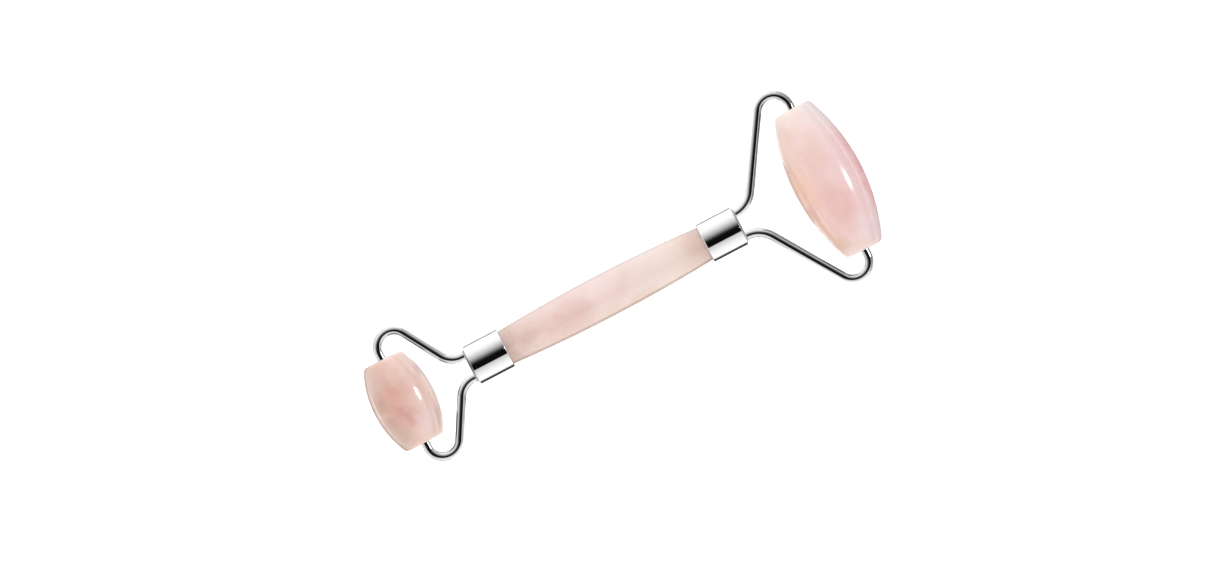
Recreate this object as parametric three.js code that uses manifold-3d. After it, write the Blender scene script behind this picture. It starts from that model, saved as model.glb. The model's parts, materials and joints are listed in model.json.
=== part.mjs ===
// A two-ended face roller: a turned stone handle with a metal ferrule on each end, a wire yoke
// held in each ferrule, and a large and a small barrel of stone that spin in the yokes.
// Millimetres. +X runs along the handle to the large barrel, +Y along the axles, and +Z is up.
// The origin is the middle of the base: the object lies on the bellies of both barrels, on z = 0.

import * as THREE from 'three';
import { mergeVertices } from 'three/addons/utils/BufferGeometryUtils.js';
import Module from 'manifold-3d';

const wasm = await Module();
wasm.setup();

// Turned stone. A side is one shallow arc, whose radius is its bow, and the ends' edges are rounded.
const HANDLE = { radius: 5.8, bow: 430, halfLength: 34.6, edge: 0.5, sideSteps: 15 };
const LARGE_BARREL = { radius: 9.6, bow: 52.8, halfLength: 21.05, edge: 1.3, sideSteps: 13 };
const SMALL_BARREL = { radius: 8.5, bow: 27.7, halfLength: 12.38, edge: 1.3, sideSteps: 11 };

// Distances from the handle's middle to each axle, and the wire's route in each yoke.
// A leg leaves the ferrule parallel to the handle, turns outward at its corner, and ends in a bend
// that brings the pin back into the barrel along the axle.
const LARGE_YOKE = {
  axle: 66.75,
  legOffset: 3.25,
  corner: 44.6,
  slope: THREE.MathUtils.degToRad(57.2),
  cornerBend: 7.5,
  steps: 92,
};
const SMALL_YOKE = {
  axle: 60.5,
  legOffset: 3.2,
  corner: 44.6,
  slope: THREE.MathUtils.degToRad(59.65),
  cornerBend: 5.7,
  steps: 76,
};
const WIRE_RADIUS = 1.2;
const PIN_BEND = 4.45;
const PIN_DEPTH = 7.5;
const CROSSBAR_BEND = 2;

// Ferrule: a drawn cup over the handle's end, with a bevelled, flat bottom and two holes for the wire.
const FERRULE_MOUTH = 29.85;
const FERRULE_END = 40.6;
const FERRULE_RADIUS = 5.5;
const FERRULE_BORE = 5;
const FERRULE_BOTTOM = 1;
const FERRULE_BEVEL_LENGTH = 0.55;
const FERRULE_BEVEL_DEPTH = 1;
const FERRULE_LIP = 0.25;

// Bush: a plastic sleeve in each end of a barrel, in which a pin runs.
const BUSH_RADIUS = 2.5;
const BUSH_BORE = 1.35;
const BUSH_LENGTH = 8;
const BUSH_RECESS = 0.3;
const BUSH_CHAMFER = 0.25;
const SEAT_RADIUS = 2.65;
const BARREL_BORE = 1.7;

// Space left between pieces that are bonded together.
const BOND_GAP = 0.3;

const ROUND_SEGMENTS = 40;
const BUSH_SEGMENTS = 20;
const WIRE_SIDES = 10;
const EDGE_STEPS = 4;

const STONE = { color: 0xe9cfca, roughness: 0.18, metalness: 0 };
const CHROME = { color: 0xd9dadc, roughness: 0.12, metalness: 1 };
const NYLON = { color: 0xeeece6, roughness: 0.45, metalness: 0 };
const ADHESIVE = { color: 0xd8d2bd, roughness: 0.35, metalness: 0 };

// Circular arc in the XY plane, from a centre, for the bends of a wire.
class FlatArc extends THREE.Curve {
  constructor(centre, radius, startAngle, sweep) {
    super();
    this.centre = centre;
    this.radius = radius;
    this.startAngle = startAngle;
    this.sweep = sweep;
  }

  getPoint(t, target = new THREE.Vector3()) {
    const angle = this.startAngle + this.sweep * t;
    target.set(Math.cos(angle), Math.sin(angle), 0);
    return target.multiplyScalar(this.radius).add(this.centre);
  }
}

// Points of an arc in a profile, where x is the distance from the turning axis.
function arcPoints(centreX, centreY, radius, from, to, steps) {
  const points = [];
  for (let i = 0; i <= steps; i++) {
    const angle = from + ((to - from) * i) / steps;
    points.push(new THREE.Vector2(centreX + radius * Math.cos(angle), centreY + radius * Math.sin(angle)));
  }
  return points;
}

// Outer profile of a bowed stone, from its lower end face to its upper one.
function bowedProfile({ radius, bow, halfLength, edge, sideSteps }) {
  const bowCentre = radius - bow;
  const edgeY = halfLength - edge;
  const edgeAngle = Math.asin(edgeY / (bow - edge));
  const edgeX = bowCentre + (bow - edge) * Math.cos(edgeAngle);
  const side = arcPoints(bowCentre, 0, bow, -edgeAngle, edgeAngle, sideSteps);
  const lower = arcPoints(edgeX, -edgeY, edge, -Math.PI / 2, -edgeAngle, EDGE_STEPS);
  const upper = arcPoints(edgeX, edgeY, edge, edgeAngle, Math.PI / 2, EDGE_STEPS);
  return [...lower, ...side.slice(1, -1), ...upper];
}

// Bore of a barrel, from its upper end face to its lower one: a seat for a bush at each end.
function barrelBore(halfLength) {
  const seatEnd = halfLength - BUSH_RECESS - BUSH_LENGTH - BOND_GAP;
  return [
    new THREE.Vector2(SEAT_RADIUS, halfLength),
    new THREE.Vector2(SEAT_RADIUS, seatEnd),
    new THREE.Vector2(BARREL_BORE, seatEnd),
    new THREE.Vector2(BARREL_BORE, -seatEnd),
    new THREE.Vector2(SEAT_RADIUS, -seatEnd),
    new THREE.Vector2(SEAT_RADIUS, -halfLength),
  ];
}

function turned(profile, segments) {
  return new THREE.LatheGeometry(profile, segments);
}

function handleGeometry() {
  const lowest = new THREE.Vector2(0, -HANDLE.halfLength);
  const highest = new THREE.Vector2(0, HANDLE.halfLength);
  return turned([lowest, ...bowedProfile(HANDLE), highest], ROUND_SEGMENTS);
}

function barrelGeometry(barrel) {
  const profile = [...bowedProfile(barrel), ...barrelBore(barrel.halfLength)];
  return turned([...profile, profile[0].clone()], ROUND_SEGMENTS);
}

function bushGeometry() {
  const half = BUSH_LENGTH / 2;
  const profile = [
    new THREE.Vector2(BUSH_RADIUS - BUSH_CHAMFER, -half),
    new THREE.Vector2(BUSH_RADIUS, BUSH_CHAMFER - half),
    new THREE.Vector2(BUSH_RADIUS, half - BUSH_CHAMFER),
    new THREE.Vector2(BUSH_RADIUS - BUSH_CHAMFER, half),
    new THREE.Vector2(BUSH_BORE, half),
    new THREE.Vector2(BUSH_BORE, -half),
  ];
  return turned([...profile, profile[0].clone()], BUSH_SEGMENTS);
}

// A line through the corner points, with each inner corner rounded to its bend radius.
function bentPath(corners, bends) {
  const path = new THREE.CurvePath();
  let from = corners[0];
  for (let i = 1; i < corners.length - 1; i++) {
    const before = corners[i].clone().sub(corners[i - 1]).normalize();
    const after = corners[i + 1].clone().sub(corners[i]).normalize();
    const turn = Math.atan2(before.x * after.y - before.y * after.x, before.dot(after));
    const side = Math.sign(turn);
    const reach = bends[i - 1] * Math.tan(Math.abs(turn) / 2);
    const start = corners[i].clone().addScaledVector(before, -reach);
    const inward = new THREE.Vector3(-before.y * side, before.x * side, 0);
    const centre = start.clone().addScaledVector(inward, bends[i - 1]);
    path.add(new THREE.LineCurve3(from, start));
    path.add(new FlatArc(centre, bends[i - 1], Math.atan2(-inward.y, -inward.x), turn));
    from = corners[i].clone().addScaledVector(after, reach);
  }
  path.add(new THREE.LineCurve3(from, corners.at(-1)));
  return path;
}

// The wire's centreline, from the tip of one pin to the tip of the other.
function yokePath(yoke, barrel) {
  const { axle, legOffset, corner, slope, cornerBend } = yoke;
  const tip = barrel.halfLength - PIN_DEPTH;
  const legMeetsAxle = legOffset + (axle - corner) * Math.tan(slope);
  const crossbar = FERRULE_END - FERRULE_BOTTOM - CROSSBAR_BEND - BOND_GAP;
  const half = [
    [axle, tip],
    [axle, legMeetsAxle],
    [corner, legOffset],
    [crossbar, legOffset],
  ];
  const upper = half.map(([x, y]) => new THREE.Vector3(x, y, 0));
  const lower = half.map(([x, y]) => new THREE.Vector3(x, -y, 0)).reverse();
  const bends = [PIN_BEND, cornerBend, CROSSBAR_BEND];
  return bentPath([...upper, ...lower], [...bends, ...bends.slice().reverse()]);
}

function wireGeometry(path, steps, radius) {
  const section = new THREE.Shape();
  section.absarc(0, 0, radius, 0, 2 * Math.PI, false);
  return new THREE.ExtrudeGeometry(section, { extrudePath: path, steps, curveSegments: WIRE_SIDES / 2 });
}

function solidOf(geometry) {
  const bare = geometry.clone();
  bare.deleteAttribute('normal');
  bare.deleteAttribute('uv');
  const merged = mergeVertices(bare);
  return new wasm.Manifold(new wasm.Mesh({
    numProp: 3,
    vertProperties: merged.attributes.position.array,
    triVerts: Uint32Array.from(merged.index.array),
  }));
}

function cut(geometry, tool) {
  const mesh = solidOf(geometry).subtract(tool).getMesh();
  const result = new THREE.BufferGeometry();
  result.setAttribute('position', new THREE.BufferAttribute(mesh.vertProperties, 3));
  result.setIndex(new THREE.BufferAttribute(mesh.triVerts, 1));
  result.computeVertexNormals();
  return result;
}

// The geometries turned about the handle's axis are laid along +X before they are cut.
function alongHandle(profile) {
  return turned(profile, ROUND_SEGMENTS).rotateZ(-Math.PI / 2);
}

function ferruleCup() {
  const floor = FERRULE_END - FERRULE_BOTTOM;
  return alongHandle([
    new THREE.Vector2(0, floor),
    new THREE.Vector2(FERRULE_BORE, floor),
    new THREE.Vector2(FERRULE_BORE, FERRULE_MOUTH),
    new THREE.Vector2(FERRULE_RADIUS - FERRULE_LIP, FERRULE_MOUTH),
    new THREE.Vector2(FERRULE_RADIUS, FERRULE_MOUTH + FERRULE_LIP),
    new THREE.Vector2(FERRULE_RADIUS, FERRULE_END - FERRULE_BEVEL_LENGTH),
    new THREE.Vector2(FERRULE_RADIUS - FERRULE_BEVEL_DEPTH, FERRULE_END),
    new THREE.Vector2(0, FERRULE_END),
  ]);
}

function adhesivePlug() {
  const radius = FERRULE_BORE - BOND_GAP;
  const from = HANDLE.halfLength + BOND_GAP;
  const to = FERRULE_END - FERRULE_BOTTOM - BOND_GAP;
  return alongHandle([
    new THREE.Vector2(0, from),
    new THREE.Vector2(radius, from),
    new THREE.Vector2(radius, to),
    new THREE.Vector2(0, to),
  ]);
}

function piece(name, geometry, look) {
  const mesh = new THREE.Mesh(geometry, new THREE.MeshStandardMaterial(look));
  mesh.name = name;
  return mesh;
}

// A barrel with its two bushes, on an axle through the group's own origin.
// One flat facet of the barrel faces down, so that it stands still on a level surface.
function roller(size, barrel) {
  const group = new THREE.Group();
  const stone = piece(`${size}_roller`, barrelGeometry(barrel), STONE);
  stone.rotation.y = Math.PI / ROUND_SEGMENTS;
  group.add(stone);
  const bushCentre = barrel.halfLength - BUSH_RECESS - BUSH_LENGTH / 2;
  for (const [hand, side] of [['left', 1], ['right', -1]]) {
    const bush = piece(`${size}_roller_${hand}_bush`, bushGeometry(), NYLON);
    bush.position.y = side * bushCentre;
    group.add(bush);
  }
  return group;
}

// One end of the object, with the handle along +X: ferrule, adhesive, wire yoke and roller.
function rollerEnd(size, yoke, barrel) {
  const group = new THREE.Group();
  const path = yokePath(yoke, barrel);
  const wire = wireGeometry(path, yoke.steps, WIRE_RADIUS);
  const clearance = solidOf(wireGeometry(path, yoke.steps, WIRE_RADIUS + BOND_GAP));
  group.add(piece(`${size}_yoke_wire`, wire, CHROME));
  group.add(piece(`${size}_ferrule`, cut(ferruleCup(), clearance), CHROME));
  group.add(piece(`${size}_ferrule_adhesive`, cut(adhesivePlug(), clearance), ADHESIVE));
  const spinning = roller(size, barrel);
  spinning.position.x = yoke.axle;
  group.add(spinning);
  return { group, spinning };
}

const handle = piece('handle', handleGeometry(), STONE);
handle.rotation.z = -Math.PI / 2;
const largeEnd = rollerEnd('large', LARGE_YOKE, LARGE_BARREL);
const smallEnd = rollerEnd('small', SMALL_YOKE, SMALL_BARREL);
smallEnd.group.rotation.z = Math.PI;

// Lying down, the handle slopes a little, because the large barrel lifts its own axle higher.
// Each roller is turned back by that slope, so that its lowest facet lies flat.
const rise = (LARGE_BARREL.radius - SMALL_BARREL.radius) * Math.cos(Math.PI / ROUND_SEGMENTS);
const lean = Math.asin(rise / (LARGE_YOKE.axle + SMALL_YOKE.axle));
largeEnd.spinning.rotation.y = lean;
smallEnd.spinning.rotation.y = -lean;
const lying = new THREE.Group();
lying.add(handle, largeEnd.group, smallEnd.group);
lying.rotation.y = -lean;

const faceRoller = new THREE.Group();
faceRoller.name = 'face_roller';
faceRoller.add(lying);
const extent = new THREE.Box3().setFromObject(faceRoller, true);
const middle = extent.getCenter(new THREE.Vector3());
lying.position.set(-middle.x, -middle.y, -extent.min.z);

export default faceRoller;
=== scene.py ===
"""Looks of a two-ended stone face roller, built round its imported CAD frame.

Metres, in the CAD's own frame: +X along the handle to the large roller, +Y along the axles, +Z up.
Every CAD node is replaced by a finer mesh of the same shape and size. Shapes are worked out in
millimetres in the tool's frame, which leans a little, because the object lies on two barrels of
different size, and are then laid into the CAD's frame.
"""

import json
import math

import bmesh
import bpy
from mathutils import Matrix, Vector


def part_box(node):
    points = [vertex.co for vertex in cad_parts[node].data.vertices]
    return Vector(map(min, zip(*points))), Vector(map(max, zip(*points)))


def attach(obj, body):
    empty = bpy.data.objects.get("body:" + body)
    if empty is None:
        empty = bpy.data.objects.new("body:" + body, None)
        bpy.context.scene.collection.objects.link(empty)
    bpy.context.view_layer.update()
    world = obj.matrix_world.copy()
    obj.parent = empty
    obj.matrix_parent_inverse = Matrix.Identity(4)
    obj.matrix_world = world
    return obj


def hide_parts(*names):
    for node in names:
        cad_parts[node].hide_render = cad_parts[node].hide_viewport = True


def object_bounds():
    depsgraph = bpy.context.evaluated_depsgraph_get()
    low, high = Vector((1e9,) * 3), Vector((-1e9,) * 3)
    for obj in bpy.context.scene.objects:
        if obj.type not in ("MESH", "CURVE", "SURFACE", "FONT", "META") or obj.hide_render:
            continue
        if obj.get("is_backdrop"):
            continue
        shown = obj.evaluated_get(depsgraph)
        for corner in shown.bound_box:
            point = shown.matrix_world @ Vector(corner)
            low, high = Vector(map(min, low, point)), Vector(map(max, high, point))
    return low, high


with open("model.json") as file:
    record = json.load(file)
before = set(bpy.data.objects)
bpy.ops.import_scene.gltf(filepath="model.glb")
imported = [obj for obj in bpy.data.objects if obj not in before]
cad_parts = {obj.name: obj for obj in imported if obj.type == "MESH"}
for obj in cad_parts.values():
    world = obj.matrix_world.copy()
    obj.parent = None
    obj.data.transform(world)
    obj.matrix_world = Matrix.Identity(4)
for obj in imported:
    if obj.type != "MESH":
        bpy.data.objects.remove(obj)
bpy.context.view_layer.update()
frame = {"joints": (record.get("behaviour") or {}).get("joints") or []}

MM = 0.001

# Turned stone, in mm: a side is one shallow arc, whose radius is its bow, and edge rounds the corners.
HANDLE = {"radius": 5.8, "bow": 430.0, "half_length": 34.6, "edge": 0.5}
BARRELS = {
    "large": {"radius": 9.6, "bow": 52.8, "half_length": 21.05, "edge": 1.3},
    "small": {"radius": 8.5, "bow": 27.7, "half_length": 12.38, "edge": 1.3},
}

# Wire yokes, in mm from the handle's middle and in degrees. The legs leave the ferrule at leg_offset
# from the axis, and at corner they spread by slope, in a bend of radius corner_bend. CROSSBAR_LEAD is
# the straight wire between the crossbar's bend and the ferrule's floor.
YOKES = {
    "large": {"leg_offset": 3.25, "corner": 44.6, "slope": 57.2, "corner_bend": 7.5},
    "small": {"leg_offset": 3.2, "corner": 44.6, "slope": 59.65, "corner_bend": 5.7},
}
WIRE_RADIUS = 1.2
PIN_BEND = 4.45
PIN_DEPTH = 7.5
PIN_TIP_EDGE = 0.3
CROSSBAR_BEND = 2.0
CROSSBAR_LEAD = 0.3

# Ferrules, in mm. The mouth, floor and end are places along the handle.
FERRULE_MOUTH = 29.85
FERRULE_END = 40.6
FERRULE_BOTTOM = 1.0
FERRULE_FLOOR = FERRULE_END - FERRULE_BOTTOM
FERRULE_RADIUS = 5.5
FERRULE_BORE = 5.0
FERRULE_BEVEL_LENGTH = 0.55
FERRULE_BEVEL_DEPTH = 1.0
FERRULE_ROUNDING = {
    "floor": 0.3,
    "lip_inside": 0.12,
    "lip_outside": 0.3,
    "bevel_start": 0.12,
    "bevel_end": 0.15,
}
HOLE_CLEARANCE = 0.08
HOLE_OVERRUN = 0.5

# Bushes and the seats in the barrels that hold them, in mm.
BUSH_RADIUS = 2.5
BUSH_BORE = 1.35
BUSH_LENGTH = 8.0
BUSH_RECESS = 0.3
BUSH_EDGE = 0.25
SEAT_RADIUS = 2.58
SEAT_LEAD = 0.15
BARREL_BORE = 1.7

# Adhesive, in mm. BOND_LINE is the gap left to its neighbours. Its inner face starts behind the
# stone's rounded edge and follows the bowed side at a few places along the handle.
BOND_LINE = 0.03
ADHESIVE_RECESS = 0.35
ADHESIVE_EDGE = 0.3
ADHESIVE_START = 1.2 * HANDLE["edge"]
ADHESIVE_PLACES = (33.0, 32.0, 31.0)

# How finely round shapes are divided: arc and edge steps are in radians, and WIRE_STEP is in mm.
# An edge over SHARP_ANGLE, in radians, shows as sharp.
ROUND_SEGMENTS = 160
BUSH_SEGMENTS = 72
HOLE_SEGMENTS = 48
ADHESIVE_SEGMENTS = 96
WIRE_SIDES = 36
WIRE_STEP = 0.6
ARC_STEP = math.radians(5)
EDGE_STEP = math.radians(12)
SIDE_STEPS = 72
SHARP_ANGLE = math.radians(35)

# Camera: straight down, with the handle rising to the right of the picture. The view's centre is
# in mm from the handle's middle, its width is in mm, and the camera's own distances are in metres.
VIEW_CENTRE = (3.95, 2.31)
VIEW_WIDTH = 326.6
VIEW_ROLL = math.radians(27.6)
CAMERA_HEIGHT = 2.0
CAMERA_FAR = 100

# The tool's frame: its origin is the handle's middle, and its +X runs to the large roller's axle.
# Each end's own frame has +X pointing out of the handle at that end.
axles = {joint["name"].split("_")[0]: Vector(joint["pos_m"]) for joint in frame["joints"]}
handle_low, handle_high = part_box("handle")
along = (axles["large"] - axles["small"]).normalized()
across = Vector((0, 1, 0))
TOOL = Matrix((along, across, along.cross(across))).transposed().to_4x4()
TOOL.translation = (handle_low + handle_high) / 2
HALF_TURN = Matrix.Rotation(math.pi, 4, "Z")
QUARTER_TURN = Matrix.Rotation(math.pi / 2, 4, "Z")
ENDS = {"large": TOOL, "small": TOOL @ HALF_TURN}


def axle_distance(size):
    """Distance from the handle's middle to an axle, in mm."""
    return (axles[size] - TOOL.translation).length / MM


# ---------------------------------------------------------------- outlines


def arc(centre, radius, start, end, step=ARC_STEP):
    """Points of a circular arc, ends included."""
    count = max(2, math.ceil(abs(end - start) / step))
    angles = [start + (end - start) * i / count for i in range(count + 1)]
    return [(centre[0] + radius * math.cos(a), centre[1] + radius * math.sin(a)) for a in angles]


def rounded(corners, bends):
    """The corners joined by straight lines, with each inner corner rounded to its bend radius."""
    points = [tuple(corners[0])]
    for before, at, after, bend in zip(corners, corners[1:], corners[2:], bends):
        into = (Vector(at) - Vector(before)).normalized()
        out = (Vector(after) - Vector(at)).normalized()
        turn = math.atan2(into.x * out.y - into.y * out.x, into.dot(out))
        side = math.copysign(1.0, turn)
        start = Vector(at) - into * bend * math.tan(abs(turn) / 2)
        inward = Vector((-into.y, into.x)) * side
        centre = start + inward * bend
        angle = math.atan2(-inward.y, -inward.x)
        points += arc(centre, bend, angle, angle + turn)
    points.append(tuple(corners[-1]))
    return points


def spaced(points, step):
    """The same line with points no further apart than step."""
    made = [points[0]]
    for a, b in zip(points, points[1:]):
        count = max(1, math.ceil((Vector(b) - Vector(a)).length / step))
        made += [tuple(Vector(a).lerp(Vector(b), i / count)) for i in range(1, count + 1)]
    return made


def bowed_profile(stone):
    """(along, radius) of a bowed stone's outside, from its lower end face to its upper one."""
    bow, edge = stone["bow"], stone["edge"]
    bow_centre = stone["radius"] - bow
    edge_along = stone["half_length"] - edge
    edge_angle = math.asin(edge_along / (bow - edge))
    edge_radius = bow_centre + (bow - edge) * math.cos(edge_angle)
    side = arc((bow_centre, 0), bow, -edge_angle, edge_angle, 2 * edge_angle / SIDE_STEPS)
    lower = arc((edge_radius, -edge_along), edge, -math.pi / 2, -edge_angle, EDGE_STEP)
    upper = arc((edge_radius, edge_along), edge, edge_angle, math.pi / 2, EDGE_STEP)
    return [(at, radius) for radius, at in lower + side[1:-1] + upper]


def handle_radius(at):
    """Radius of the handle's bowed side at a place along it."""
    return HANDLE["radius"] - HANDLE["bow"] + math.sqrt(HANDLE["bow"] ** 2 - at**2)


def yoke_line(size):
    """Centreline of a yoke's wire, from pin tip to pin tip, with the handle along +X."""
    yoke = YOKES[size]
    axle = axle_distance(size)
    tip = BARRELS[size]["half_length"] - PIN_DEPTH
    offset, corner = yoke["leg_offset"], yoke["corner"]
    leg_meets_axle = offset + (axle - corner) * math.tan(math.radians(yoke["slope"]))
    crossbar = FERRULE_FLOOR - CROSSBAR_BEND - CROSSBAR_LEAD
    half = [(axle, tip), (axle, leg_meets_axle), (corner, offset), (crossbar, offset)]
    bends = [PIN_BEND, yoke["corner_bend"], CROSSBAR_BEND]
    other = [(x, -y) for x, y in reversed(half)]
    return spaced(rounded(half + other, bends + bends[::-1]), WIRE_STEP)


# ------------------------------------------------------------------ meshes


def finish_mesh(name, mesh_bm, place):
    """Turns a bmesh in mm into an object in the CAD's frame, smooth, with its faces out."""
    bmesh.ops.recalc_face_normals(mesh_bm, faces=mesh_bm.faces)
    mesh = bpy.data.meshes.new(name)
    mesh_bm.to_mesh(mesh)
    mesh_bm.free()
    mesh.transform(place @ Matrix.Scale(MM, 4))
    mesh.shade_smooth()
    made = bpy.data.objects.new(name, mesh)
    bpy.context.scene.collection.objects.link(made)
    return made


def turned(name, profile, place, closed, segments=ROUND_SEGMENTS):
    """A profile of (along, radius) turned about +X. closed joins its last point to its first.

    A point on the axis is a ring of one vertex, and its faces are triangles.
    """
    made = bmesh.new()
    turns = [2 * math.pi * i / segments for i in range(segments)]
    rings = []
    for at, radius in profile:
        if radius == 0:
            rings.append([made.verts.new((at, 0, 0))])
            continue
        ring = [(at, radius * math.sin(turn), radius * math.cos(turn)) for turn in turns]
        rings.append([made.verts.new(point) for point in ring])
    pairs = list(zip(rings, rings[1:]))
    if closed:
        pairs.append((rings[-1], rings[0]))
    for lower, upper in pairs:
        for i in range(segments):
            j = (i + 1) % segments
            places = ((lower, i), (lower, j), (upper, j), (upper, i))
            corners = [ring[k % len(ring)] for ring, k in places]
            made.faces.new(list(dict.fromkeys(corners)))
    return finish_mesh(name, made, place)


def swept(name, line, radius, place, tip_edge=0.0):
    """A round wire along a flat line, with its two tips chamfered by tip_edge."""
    made = bmesh.new()
    stations = [(Vector(p), radius) for p in line]
    if tip_edge:
        first, last = Vector(line[0]), Vector(line[-1])
        inner_first = first + (Vector(line[1]) - first).normalized() * tip_edge
        inner_last = last + (Vector(line[-2]) - last).normalized() * tip_edge
        stations[0] = (inner_first, radius)
        stations[-1] = (inner_last, radius)
        stations.insert(0, (first, radius - tip_edge))
        stations.append((last, radius - tip_edge))
    rings = []
    for i, (point, ring_radius) in enumerate(stations):
        ahead = stations[min(i + 1, len(stations) - 1)][0]
        behind = stations[max(i - 1, 0)][0]
        heading = (ahead - behind).normalized()
        side = Vector((-heading.y, heading.x, 0))
        centre = Vector((point.x, point.y, 0))
        ring = []
        for k in range(WIRE_SIDES):
            turn = 2 * math.pi * k / WIRE_SIDES
            out = side * math.cos(turn) + Vector((0, 0, math.sin(turn)))
            ring.append(made.verts.new(centre + out * ring_radius))
        rings.append(ring)
    for lower, upper in zip(rings, rings[1:]):
        for k in range(WIRE_SIDES):
            n = (k + 1) % WIRE_SIDES
            made.faces.new((lower[k], lower[n], upper[n], upper[k]))
    made.faces.new(rings[0])
    made.faces.new(rings[-1])
    return finish_mesh(name, made, place)


def carve(piece, cutters):
    """Cuts the cutters out of the piece and removes them."""
    for cutter in cutters:
        modifier = piece.modifiers.new("carve", "BOOLEAN")
        modifier.operation = "DIFFERENCE"
        modifier.solver = "EXACT"
        modifier.object = cutter
    bpy.context.view_layer.update()
    shaped = piece.evaluated_get(bpy.context.evaluated_depsgraph_get())
    mesh = bpy.data.meshes.new_from_object(shaped)
    piece.modifiers.clear()
    piece.data = mesh
    for cutter in cutters:
        bpy.data.objects.remove(cutter)


def crisp(piece):
    """Keeps flat faces flat and edges over the sharp angle sharp, and smooths the rest."""
    piece.data.set_sharp_from_angle(angle=SHARP_ANGLE)
    weighted = piece.modifiers.new("even shading", "WEIGHTED_NORMAL")
    weighted.keep_sharp = True


# --------------------------------------------------------------- materials


def rgb(code):
    """Linear colour of a hex code."""
    parts = [int(code[i : i + 2], 16) / 255 for i in (0, 2, 4)]
    linear = [c / 12.92 if c <= 0.04045 else ((c + 0.055) / 1.055) ** 2.4 for c in parts]
    return (*linear, 1.0)


class Graph:
    """Builds one node tree. A value given to an input is a number, a tuple or another node's output."""

    def __init__(self, tree):
        self.tree = tree
        tree.nodes.clear()

    def node(self, kind, inputs=None, **settings):
        made = self.tree.nodes.new(kind)
        for key, value in settings.items():
            setattr(made, key, value)
        for key, value in (inputs or {}).items():
            if isinstance(value, bpy.types.NodeSocket):
                self.tree.links.new(value, made.inputs[key])
            else:
                made.inputs[key].default_value = value
        return made

    def maths(self, operation, a, b=0.0, clamp=False):
        return self.node("ShaderNodeMath", {0: a, 1: b}, operation=operation, use_clamp=clamp).outputs[0]

    def vector(self, operation, a, b):
        return self.node("ShaderNodeVectorMath", {0: a, 1: b}, operation=operation).outputs[0]

    def scaled(self, vector, scale):
        made = self.node("ShaderNodeVectorMath", {0: vector, "Scale": scale}, operation="SCALE")
        return made.outputs[0]

    def length(self, vector):
        return self.node("ShaderNodeVectorMath", {0: vector}, operation="LENGTH").outputs["Value"]

    def remap(self, value, low, high, to_low=0.0, to_high=1.0):
        inputs = {0: value, 1: low, 2: high, 3: to_low, 4: to_high}
        return self.node("ShaderNodeMapRange", inputs, interpolation_type="SMOOTHSTEP").outputs[0]

    def noise(self, place, scale, detail=3.0, roughness=0.5):
        inputs = {"Vector": place, "Scale": scale, "Detail": detail, "Roughness": roughness}
        return self.node("ShaderNodeTexNoise", inputs)

    def mix(self, share, a, b):
        inputs = {0: share, 6: a, 7: b}
        return self.node("ShaderNodeMix", inputs, data_type="RGBA").outputs[2]

    def bump(self, height, strength, distance):
        inputs = {"Height": height, "Strength": strength, "Distance": distance}
        return self.node("ShaderNodeBump", inputs).outputs[0]


def new_material(name):
    """A material and the graph of its nodes, which starts empty."""
    material = bpy.data.materials.new(name)
    material.use_nodes = True
    return material, Graph(material.node_tree)


def surface(graph, inputs):
    """Ends a material's graph with a surface that has these inputs."""
    shader = graph.node("ShaderNodeBsdfPrincipled", inputs)
    graph.node("ShaderNodeOutputMaterial", {"Surface": shader.outputs[0]})


def cad_mm(graph):
    """Place in mm in the CAD's frame."""
    return graph.scaled(graph.node("ShaderNodeTexCoord").outputs["Object"], 1 / MM)


def local_mm(graph, centre):
    """Place in mm from a centre given in metres in the CAD's frame."""
    place = graph.node("ShaderNodeTexCoord").outputs["Object"]
    return graph.scaled(graph.vector("SUBTRACT", place, tuple(centre)), 1 / MM)


def veil(graph, place, colour, centre, reach, soft, below):
    """Lays a soft-edged patch of colour over what is below; the patches make the stones' clouds and also
    painted shade. reach is its half-size in mm on each axis.
    """
    offset = graph.vector("DIVIDE", graph.vector("SUBTRACT", place, centre), reach)
    share = graph.remap(graph.length(offset), 1 + soft, 1 - soft)
    return graph.mix(share, below, rgb(colour))


# Soft patches of colour in each stone: colour, centre and half-size in mm from the stone's middle, and
# softness. Most are clouds; the handle's last two are painted shade, darker where its ends go into the
# ferrules.
HANDLE_VEILS = (
    ("dfd0c5", (22, 0, 3), (5, 6, 6), 0.5),
    ("e1d2cc", (14, 0, 3), (8, 6, 6), 0.5),
    ("e3cfcb", (0, 0, 3), (6, 5, 6), 0.5),
    ("dcc1bb", (-14, -1, 3), (9, 5, 6), 0.5),
    ("dcc5b6", (0, -6.8, 0), (45, 2.6, 8), 0.6),
    # Painted shade: the handle darkens toward both ends, where they go into the ferrules.
    ("c2a498", (-31, 0, 0), (7.5, 8, 8), 0.8),
    ("c8ab9e", (31, 0, 0), (6.5, 8, 8), 0.8),
)
LARGE_VEILS = (
    ("e8d8d1", (0, 22, 0), (14, 11, 14), 0.5),
    ("e7d4d1", (2.5, 12, 9), (4, 7, 7), 0.6),
    ("e3c9bd", (-7, 12, 6), (4, 9, 9), 0.6),
    ("e2c3bc", (-3, 8, 9), (4.5, 5.5, 9), 0.9),
    ("e4d7d6", (6, 19, 3), (4, 6, 9), 0.5),
    ("e2cbc3", (2, -23, 0), (14, 9, 14), 0.5),
    ("e7c0ac", (-9.5, -5, 2), (5, 13, 12), 0.6),
    ("d6b59f", (-7.5, -18.8, 4), (3.4, 5.5, 9), 0.6),
    ("e1bcb6", (-2, -8, 9), (4.5, 6, 9), 0.9),
    ("dfaaac", (10.5, -2, 0), (4.6, 15, 14), 0.4),
    ("e4c8c9", (5.5, -1, 8), (3, 12, 6), 0.6),
    ("dfcaca", (5, -17, 4), (4, 5, 8), 0.6),
)
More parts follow.
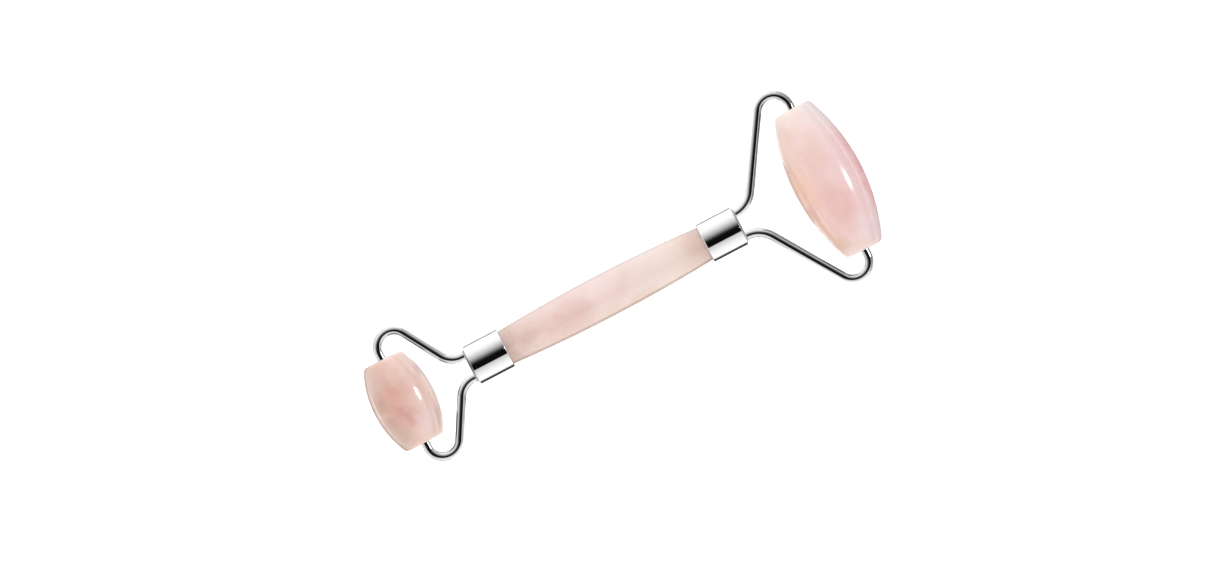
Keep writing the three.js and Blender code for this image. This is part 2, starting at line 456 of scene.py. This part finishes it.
SMALL_VEILS = (
    ("dec2ba", (8, 0, 3), (8, 16, 12), 0.7),
    ("f0d8cc", (9.5, 0, 0), (3.4, 14, 12), 0.5),
    ("e2cac0", (2, 12, 0), (9, 5, 12), 0.6),
    ("dbc1b6", (1, -12, 0), (9, 5, 12), 0.6),
    ("d1aea3", (-2.5, 9, 6), (4, 3.5, 8), 0.6),
    ("d3a89d", (-2.5, 1, 7), (4.5, 5.5, 9), 0.6),
    ("cfa399", (0, -3, 8), (2.5, 3, 6), 0.6),
    ("c3a293", (-7.3, 0, 3), (3, 7.5, 8), 0.5),
    ("ceb2a7", (-7, 9, 4), (4, 4, 9), 0.6),
    ("c6aa9d", (-7, -10, 4), (4, 4, 9), 0.6),
    ("dfc8c4", (3.2, -8.3, 7), (3.4, 3.6, 5), 0.6),
)

# Each stone's own look: seed moves its noise, base is its body colour, and milk its cloud colour.
STONES = {
    "handle": {"seed": 3.0, "base": "dfcac5", "veils": HANDLE_VEILS, "milk": "e8d9d5"},
    "large": {"seed": 11.0, "base": "e6cac9", "veils": LARGE_VEILS, "milk": "ebd8d6"},
    "small": {"seed": 23.0, "base": "d6b4a9", "veils": SMALL_VEILS, "milk": "e4cbc1"},
}
SPECK = "fff6f2"
CLOUD_SCALE = 0.16
DRIFT_REACH = 7.0


def stone_material(name, centre, seed, base, veils, milk):
    """Polished rose quartz: a clouded pink body, milky veils, healed cracks, specks and a fine polish, with
    painted shade laid in by some veils.
    """
    material, graph = new_material(name)
    place = local_mm(graph, centre)
    moved = graph.vector("ADD", place, (seed, seed * 0.7, -seed))
    drift = graph.noise(moved, CLOUD_SCALE, detail=2.0).outputs["Color"]
    drift = graph.scaled(graph.vector("SUBTRACT", drift, (0.5, 0.5, 0.5)), DRIFT_REACH)
    drifted = graph.vector("ADD", place, drift)
    colour = rgb(base)
    # The veils lay clouds in the stone, and painted shade at the handle's ends.
    for veil_colour, at, reach, soft in veils:
        colour = veil(graph, drifted, veil_colour, at, reach, soft, colour)
    clouds = graph.noise(graph.vector("ADD", moved, drift), CLOUD_SCALE, detail=4.0).outputs["Fac"]
    colour = graph.mix(graph.remap(clouds, 0.42, 0.74, to_high=0.35), colour, rgb(milk))
    # A healed crack runs where the stretched noise crosses its middle value.
    stretched = graph.vector("MULTIPLY", moved, (0.5, 1.6, 1.1))
    wisps = graph.noise(stretched, 0.35).outputs["Fac"]
    ridge = graph.maths("ABSOLUTE", graph.maths("SUBTRACT", wisps, 0.5))
    colour = graph.mix(graph.remap(ridge, 0.03, 0.0, to_high=0.15), colour, rgb(milk))
    grains = graph.noise(moved, 2.6, detail=2.0, roughness=0.6).outputs["Fac"]
    colour = graph.mix(graph.remap(grains, 0.66, 0.80, to_high=0.20), colour, rgb(SPECK))
    polish = graph.noise(moved, 0.9, detail=4.0, roughness=0.6).outputs["Fac"]
    roughness = graph.remap(polish, 0.3, 0.75, to_low=0.08, to_high=0.15)
    waviness = graph.noise(moved, 0.35, detail=1.0).outputs["Fac"]
    grooved = graph.vector("MULTIPLY", moved, (9.0, 0.6, 9.0))
    scratches = graph.noise(grooved, 1.0, detail=2.0).outputs["Fac"]
    height = graph.maths("ADD", waviness, graph.maths("MULTIPLY", scratches, 0.05))
    surface(graph, {
        "Base Color": colour,
        "Roughness": roughness,
        "IOR": 1.54,
        "Subsurface Weight": 0.9,
        "Subsurface Radius": (1.0, 0.8, 0.75),
        "Subsurface Scale": 0.0045,
        "Normal": graph.bump(height, strength=0.07, distance=0.0002),
    })
    return material


def metal_material(name, tone, smooth, smudged):
    """Bright metal with faint smudges, fine polishing lines and tiny pits.

    smooth and smudged are its roughness where it is clean and where it is smudged.
    """
    material, graph = new_material(name)
    place = local_mm(graph, TOOL.translation)
    smudges = graph.noise(place, 0.35, detail=4.0, roughness=0.6).outputs["Fac"]
    grooved = graph.vector("MULTIPLY", place, (14.0, 0.8, 0.8))
    lines = graph.noise(grooved, 1.0).outputs["Fac"]
    pits = graph.noise(place, 9.0, detail=1.0).outputs["Fac"]
    wear = graph.remap(smudges, 0.45, 0.75, to_low=smooth, to_high=smudged)
    roughness = graph.maths("ADD", wear, graph.maths("MULTIPLY", lines, 0.02))
    dull = graph.remap(smudges, 0.5, 0.8, to_high=0.10)
    colour = graph.mix(dull, rgb(tone), rgb("a4a4a4"))
    height = graph.maths("ADD", graph.maths("MULTIPLY", lines, 0.4), graph.remap(pits, 0.70, 0.80))
    surface(graph, {
        "Base Color": colour,
        "Metallic": 1.0,
        "Roughness": roughness,
        "Normal": graph.bump(height, strength=0.06, distance=0.00002),
    })
    return material


def nylon_material():
    """Natural nylon, a little translucent, with faint moulding rings."""
    material, graph = new_material("natural_nylon")
    place = cad_mm(graph)
    mottle = graph.noise(place, 1.4).outputs["Fac"]
    wave = {"Vector": place, "Scale": 2.2, "Distortion": 0.4}
    rings = graph.node("ShaderNodeTexWave", wave, bands_direction="Y").outputs["Fac"]
    colour = graph.mix(graph.remap(mottle, 0.35, 0.7), rgb("e9e5da"), rgb("f6f3ec"))
    surface(graph, {
        "Base Color": colour,
        "Roughness": graph.remap(mottle, 0.3, 0.7, to_low=0.34, to_high=0.5),
        "Subsurface Weight": 0.3,
        "Subsurface Radius": (1.0, 0.9, 0.8),
        "Subsurface Scale": 0.0008,
        "Normal": graph.bump(rings, strength=0.15, distance=0.00005),
    })
    return material


def adhesive_material():
    """Set clear adhesive, straw-coloured, with small bubbles."""
    material, graph = new_material("set_adhesive")
    place = cad_mm(graph)
    bubbles = graph.node("ShaderNodeTexVoronoi", {"Vector": place, "Scale": 1.6}).outputs["Distance"]
    spots = graph.remap(bubbles, 0.22, 0.12)
    clouds = graph.noise(place, 0.8).outputs["Fac"]
    body = graph.mix(graph.remap(clouds, 0.3, 0.7), rgb("d8cfb2"), rgb("e6dfc9"))
    surface(graph, {
        "Base Color": graph.mix(spots, body, rgb("f4efe0")),
        "Roughness": graph.remap(clouds, 0.3, 0.7, to_low=0.12, to_high=0.3),
        "Subsurface Weight": 0.5,
        "Subsurface Radius": (1.0, 0.9, 0.6),
        "Subsurface Scale": 0.001,
        "Normal": graph.bump(spots, strength=0.3, distance=0.0001),
    })
    return material


def floor_material():
    """Matt and almost white, with a faint mottle."""
    material, graph = new_material("pale_floor")
    place = graph.node("ShaderNodeTexCoord").outputs["Object"]
    mottle = graph.noise(place, 40.0).outputs["Fac"]
    colour = graph.mix(mottle, rgb("f2f2f2"), rgb("f4f4f4"))
    surface(graph, {"Base Color": colour, "Roughness": 0.9, "Specular IOR Level": 0.1})
    return material


# ------------------------------------------------------------------ pieces


def settle(piece, body, node, material):
    """Gives a piece its material and its body, and hides the CAD node that it stands for."""
    piece.data.materials.clear()
    piece.data.materials.append(material)
    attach(piece, body)
    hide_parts(node)


def keep_out_of_reflections(piece):
    """Other pieces don't mirror this one, so that chrome stays neutral and polished rims stay clear."""
    piece.visible_glossy = False


def make_handle(material):
    end = HANDLE["half_length"]
    profile = [(-end, 0), *bowed_profile(HANDLE), (end, 0)]
    piece = turned("stone_handle", profile, TOOL, closed=False)
    crisp(piece)
    settle(piece, "handle_frame", "handle", material)
    keep_out_of_reflections(piece)


def make_barrel(size, material):
    """A bowed stone with a bore right through it, which is wider at both ends to seat the bushes."""
    barrel = BARRELS[size]
    end = barrel["half_length"]
    seat = end - BUSH_RECESS - BUSH_LENGTH
    half = [
        (end, SEAT_RADIUS + SEAT_LEAD),
        (end - SEAT_LEAD, SEAT_RADIUS),
        (seat, SEAT_RADIUS),
        (seat, BARREL_BORE),
    ]
    bore = half + [(-at, radius) for at, radius in reversed(half)]
    lie = Matrix.Translation(axles[size]) @ QUARTER_TURN
    piece = turned(f"{size}_stone_barrel", bowed_profile(barrel) + bore, lie, closed=True)
    crisp(piece)
    settle(piece, f"{size}_roller_unit", f"{size}_roller", material)
    keep_out_of_reflections(piece)


def make_bushes(size, material):
    """One sleeve in each end of a barrel. The left one is on the left as seen from the handle."""
    facing = 1 if size == "large" else -1
    half = BUSH_LENGTH / 2
    outside = [(-half, BUSH_BORE), (-half, BUSH_RADIUS), (half, BUSH_RADIUS), (half, BUSH_BORE)]
    profile = rounded(outside, [BUSH_EDGE, BUSH_EDGE])
    centre = (BARRELS[size]["half_length"] - BUSH_RECESS - half) * MM
    for hand, side in (("left", facing), ("right", -facing)):
        lie = Matrix.Translation(axles[size] + across * side * centre) @ QUARTER_TURN
        piece = turned(f"{size}_{hand}_sleeve", profile, lie, closed=True, segments=BUSH_SEGMENTS)
        crisp(piece)
        settle(piece, f"{size}_roller_unit", f"{size}_roller_{hand}_bush", material)


def make_wire(size, material):
    """One bent wire: pin, leg, crossbar inside the ferrule, leg and pin."""
    piece = swept(f"{size}_wire_yoke", yoke_line(size), WIRE_RADIUS, ENDS[size], PIN_TIP_EDGE)
    crisp(piece)
    settle(piece, "handle_frame", f"{size}_yoke_wire", material)
    keep_out_of_reflections(piece)


def ferrule_profile():
    """(along, radius) of the cup: inside from floor to mouth, round the lip, and outside to the end."""
    corners = [
        (FERRULE_FLOOR, 0),
        (FERRULE_FLOOR, FERRULE_BORE),
        (FERRULE_MOUTH, FERRULE_BORE),
        (FERRULE_MOUTH, FERRULE_RADIUS),
        (FERRULE_END - FERRULE_BEVEL_LENGTH, FERRULE_RADIUS),
        (FERRULE_END, FERRULE_RADIUS - FERRULE_BEVEL_DEPTH),
        (FERRULE_END, 0),
    ]
    return rounded(corners, list(FERRULE_ROUNDING.values()))


def make_ferrule(size, material):
    """The cup, with a hole through its floor for each leg of the yoke."""
    piece = turned(f"{size}_end_cap", ferrule_profile(), ENDS[size], closed=False)
    start, stop = FERRULE_FLOOR - HOLE_OVERRUN, FERRULE_END + HOLE_OVERRUN
    hole = WIRE_RADIUS + HOLE_CLEARANCE
    profile = [(start, 0), (start, hole), (stop, hole), (stop, 0)]
    cutters = []
    for side in (1, -1):
        place = ENDS[size] @ Matrix.Translation((0, side * YOKES[size]["leg_offset"] * MM, 0))
        cutters.append(turned("cutter", profile, place, closed=False, segments=HOLE_SEGMENTS))
    carve(piece, cutters)
    crisp(piece)
    settle(piece, "handle_frame", f"{size}_ferrule", material)


def make_adhesive(size, material):
    """Plug behind the stone's end, with the wire's crossbar in it, and a thin sleeve round the stone."""
    face = HANDLE["half_length"] + BOND_LINE
    outer = FERRULE_BORE - BOND_LINE
    back = FERRULE_FLOOR - BOND_LINE
    front = FERRULE_MOUTH + ADHESIVE_RECESS
    places = (face - ADHESIVE_START, *ADHESIVE_PLACES, front)
    inner = [(at, handle_radius(at) + BOND_LINE) for at in places]
    profile = [
        (face, 0),
        (face, inner[0][1]),
        *inner,
        (front, outer),
        (back - ADHESIVE_EDGE, outer),
        (back, outer - ADHESIVE_EDGE),
        (back, 0),
    ]
    piece = turned(f"{size}_glue_plug", profile, ENDS[size], closed=False, segments=ADHESIVE_SEGMENTS)
    wire = swept("cutter", yoke_line(size), WIRE_RADIUS + BOND_LINE, ENDS[size])
    carve(piece, [wire])
    crisp(piece)
    settle(piece, "handle_frame", f"{size}_ferrule_adhesive", material)


# ------------------------------------------------------- camera and studio

# The floor runs this far each way, in mm. The sheet under it glows at FLOOR_GLOW, and that sheet
# and the cards lie CARD_LIFT, in mm, below and above the floor.
FLOOR_REACH = 6000
FLOOR_GLOW = 0.95
CARD_LIFT = 0.1

# Grey cards that lie beside the object and show only in its reflections, so that bright metal and polished
# stone have an edge against a white floor: low corner, high corner, tone. Corners are in mm in the CAD's
# frame. The near-black lower card is painted shade: it stands for the shaded floor beside the object's -Y
# side.
CARDS = (
    ("yoke_card_large", (62, -42), (140, 42), 0.38),
    ("near_card_large", (38.5, -10), (62, 10), 0.54),
    ("yoke_card_small", (-81, -34), (-60, 34), 0.40),
    ("near_card_small", (-60, -10), (-46, 10), 0.58),
    ("upper_card", (-45, 6.5), (37.5, 15.5), 0.45),
    # Painted shade: this near-black card stands for the object's shadow on the floor, and darkens the
    # reflections along the object's -Y edges.
    ("lower_shade_card", (-45, -18.5), (37.5, -6.5), 0.05),
    ("lower_fringe_card", (-45, -26), (37.5, -18.5), 0.45),
)

# A dark card that stands up beyond the large barrel, and a small glowing one on the floor beyond the
# small barrel, in mm.
END_CARD = [(250, -300, 0), (250, 300, 0), (250, 300, 98), (250, -300, 98)]
END_CARD_TONE = 0.05
GLINT_CARD = ((-95, -11), (-87, 11))
GLINT = 3.2

# Brightness of the studio by its tilt toward +Y, in degrees from straight up, as a share of PANEL.
# Toward the object's two ends it fades to SIDE_SHARE, between OVERHEAD_REACH's two values of the
# direction's X.
PANEL = 1.35
TILTS = (
    (-75, 0.93), (-54, 0.77), (-37, 0.61), (-34, 0.55), (-31, 0.004), (-2, 0.004),
    (5, 0.03), (10, 0.09), (16, 0.18), (21, 0.28), (26, 0.385), (32, 0.49),
    (43, 0.66), (54, 0.81), (66, 0.94), (80, 1.0),
)
OVERHEAD_REACH = (0.88, 0.56)
SIDE_SHARE = 0.70

# One key lamp for each end, because one lamp can't put both barrels' highlights in their places:
# direction, width in metres and power in watts. Each lights only the pieces of its own end.
KEYS = {
    "large": ((0.839, -0.076, 0.545), 0.66, 14.0),
    "small": ((0.880, 0.014, 0.476), 0.80, 20.0),
}
END_PARTS = ("stone_barrel", "left_sleeve", "right_sleeve", "wire_yoke", "end_cap", "glue_plug")

# A soft light on everything, and one on the floor alone, which keeps it white: direction, strength
# and width. LAMP_DISTANCE is in metres.
FILL = ((-0.03, 0.0, 1), 1.7, math.radians(70))
FLOOR_WASH = ((0, 0, 1), 2.2, math.radians(60))
LAMP_DISTANCE = 3.0


def make_camera():
    """Looks straight down on VIEW_CENTRE."""
    camera = bpy.data.objects.new("camera", bpy.data.cameras.new("camera"))
    bpy.context.scene.collection.objects.link(camera)
    camera.data.lens = camera.data.sensor_width * CAMERA_HEIGHT / (VIEW_WIDTH * MM)
    camera.data.clip_end = CAMERA_FAR
    centre = TOOL @ Vector((VIEW_CENTRE[0] * MM, VIEW_CENTRE[1] * MM, 0))
    camera.location = centre + Vector((0, 0, CAMERA_HEIGHT))
    camera.rotation_euler = (0, 0, -VIEW_ROLL)
    bpy.context.scene.camera = camera


def level_corners(low, high, height):
    """Corners of a level rectangle between two corners given as (x, y), in mm."""
    (x0, y0), (x1, y1) = low, high
    return [(x0, y0, height), (x1, y0, height), (x1, y1, height), (x0, y1, height)]


def sheet(name, corners, material):
    """A flat sheet of the stage, from its corners in mm."""
    made = bmesh.new()
    made.faces.new([made.verts.new(Vector(corner) * MM) for corner in corners])
    mesh = bpy.data.meshes.new(name)
    made.to_mesh(mesh)
    made.free()
    laid = bpy.data.objects.new(name, mesh)
    laid.data.materials.append(material)
    bpy.context.scene.collection.objects.link(laid)
    laid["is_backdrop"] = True
    return laid


def floor_level():
    """Height of the object's lowest point, in mm, or 0 if that is lower."""
    return min(0.0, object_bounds()[0].z) / MM


def make_floor():
    """A wide level floor under the lowest point of the barrels.

    The light that it throws up on the object comes from a glowing sheet just under it instead, which
    is dimmer than the floor, so that the floor can be white without burning out the stone's edges.
    """
    level = floor_level()
    low, high = (-FLOOR_REACH, -FLOOR_REACH), (FLOOR_REACH, FLOOR_REACH)
    floor = sheet("floor", level_corners(low, high, level), floor_material())
    floor.visible_diffuse = False
    under = level_corners(low, high, level - CARD_LIFT)
    glow = sheet("floor_glow", under, glow_material("floor_glow", FLOOR_GLOW))
    glow.visible_camera = False
    glow.visible_glossy = False
    glow.visible_shadow = False
    glow.visible_transmission = False
    return floor


def glow_material(name, strength):
    """An even white glow, left out of the sampling of lamps."""
    material, graph = new_material(name)
    glow = graph.node("ShaderNodeEmission", {"Strength": strength})
    graph.node("ShaderNodeOutputMaterial", {"Surface": glow.outputs[0]})
    material.cycles.emission_sampling = "NONE"
    return material


def card_material(name, tone):
    """Dead matt grey."""
    material, graph = new_material(name)
    surface(graph, {"Base Color": (tone, tone, tone, 1), "Roughness": 1.0, "Specular IOR Level": 0.0})
    return material


def make_cards():
    """Lays the cards on the floor, and stands a dark one up beyond the large barrel."""
    level = floor_level() + CARD_LIFT
    cards = []
    for name, low, high, tone in CARDS:
        cards.append((level_corners(low, high, level), card_material(name, tone)))
    cards.append((END_CARD, card_material("end_card", END_CARD_TONE)))
    cards.append((level_corners(*GLINT_CARD, level), glow_material("glint_card", GLINT)))
    for corners, material in cards:
        card = sheet(material.name, corners, material)
        card.visible_camera = False
        card.visible_diffuse = False
        card.visible_shadow = False
        card.visible_transmission = False


def make_world():
    """Pale studio round the object, with a dark strip overhead that runs along X."""
    world = bpy.data.worlds.new("studio")
    bpy.context.scene.world = world
    world.use_nodes = True
    graph = Graph(world.node_tree)
    direction = graph.node("ShaderNodeTexCoord").outputs["Generated"]
    x, y, z = graph.node("ShaderNodeSeparateXYZ", {0: direction}).outputs
    tilt = graph.maths("ARCTAN2", y, z)
    turn = graph.maths("ADD", graph.maths("DIVIDE", tilt, 2 * math.pi), 0.5)
    ramp = graph.node("ShaderNodeValToRGB", {0: turn})
    stops = ramp.color_ramp.elements
    ready = len(stops)
    for i, (degrees, share) in enumerate(TILTS):
        at = degrees / 360 + 0.5
        stop = stops[i] if i < ready else stops.new(at)
        stop.position = at
        stop.color = (share, share, share, 1)
    overhead = graph.remap(graph.maths("ABSOLUTE", x), *OVERHEAD_REACH)
    shade = graph.mix(overhead, (SIDE_SHARE, SIDE_SHARE, SIDE_SHARE, 1), ramp.outputs[0])
    light = graph.node("ShaderNodeBackground", {"Color": shade, "Strength": PANEL})
    graph.node("ShaderNodeOutputWorld", {"Surface": light.outputs[0]})


def make_lamp(name, kind, direction, energy, **settings):
    """A lamp that shines on the object from a direction, and isn't seen by the camera."""
    data = bpy.data.lights.new(name, kind)
    data.energy = energy
    for key, value in settings.items():
        setattr(data, key, value)
    lamp = bpy.data.objects.new(name, data)
    bpy.context.scene.collection.objects.link(lamp)
    lamp.location = TOOL.translation + Vector(direction).normalized() * LAMP_DISTANCE
    lamp.rotation_euler = Vector(direction).to_track_quat("Z", "Y").to_euler()
    lamp.visible_camera = False
    return lamp


def light_only(lamp, receivers):
    """Lets a lamp light some objects, with no shadow from the others."""
    lit = bpy.data.collections.new(f"{lamp.name}_lights")
    for receiver in receivers:
        lit.objects.link(receiver)
    lamp.light_linking.receiver_collection = lit
    lamp.light_linking.blocker_collection = lit


def make_studio():
    """Floor, cards, surroundings and lamps. The keys give only highlights, and the fill only soft light."""
    floor = make_floor()
    make_cards()
    make_world()
    for size, (direction, width, power) in KEYS.items():
        key = make_lamp(f"key_{size}", "AREA", direction, power, shape="DISK", size=width)
        key.visible_diffuse = False
        light_only(key, [bpy.data.objects[f"{size}_{part}"] for part in END_PARTS])
    direction, strength, width = FILL
    fill = make_lamp("fill", "SUN", direction, strength, angle=width)
    fill.visible_glossy = False
    direction, strength, width = FLOOR_WASH
    wash = make_lamp("floor_wash", "SUN", direction, strength, angle=width)
    light_only(wash, [floor])


def make_object():
    make_handle(stone_material("rose_quartz_handle", TOOL.translation, **STONES["handle"]))
    ferrule_metal = metal_material("bright_chrome_ferrule", "e0e0e0", smooth=0.03, smudged=0.10)
    wire_metal = metal_material("bright_steel_wire", "cecece", smooth=0.03, smudged=0.09)
    nylon = nylon_material()
    adhesive = adhesive_material()
    for size in BARRELS:
        stone = stone_material(f"rose_quartz_{size}", axles[size], **STONES[size])
        make_barrel(size, stone)
        make_bushes(size, nylon)
        make_wire(size, wire_metal)
        make_ferrule(size, ferrule_metal)
        make_adhesive(size, adhesive)


make_camera()
make_object()
make_studio()
bpy.context.scene.view_settings.view_transform = "Standard"
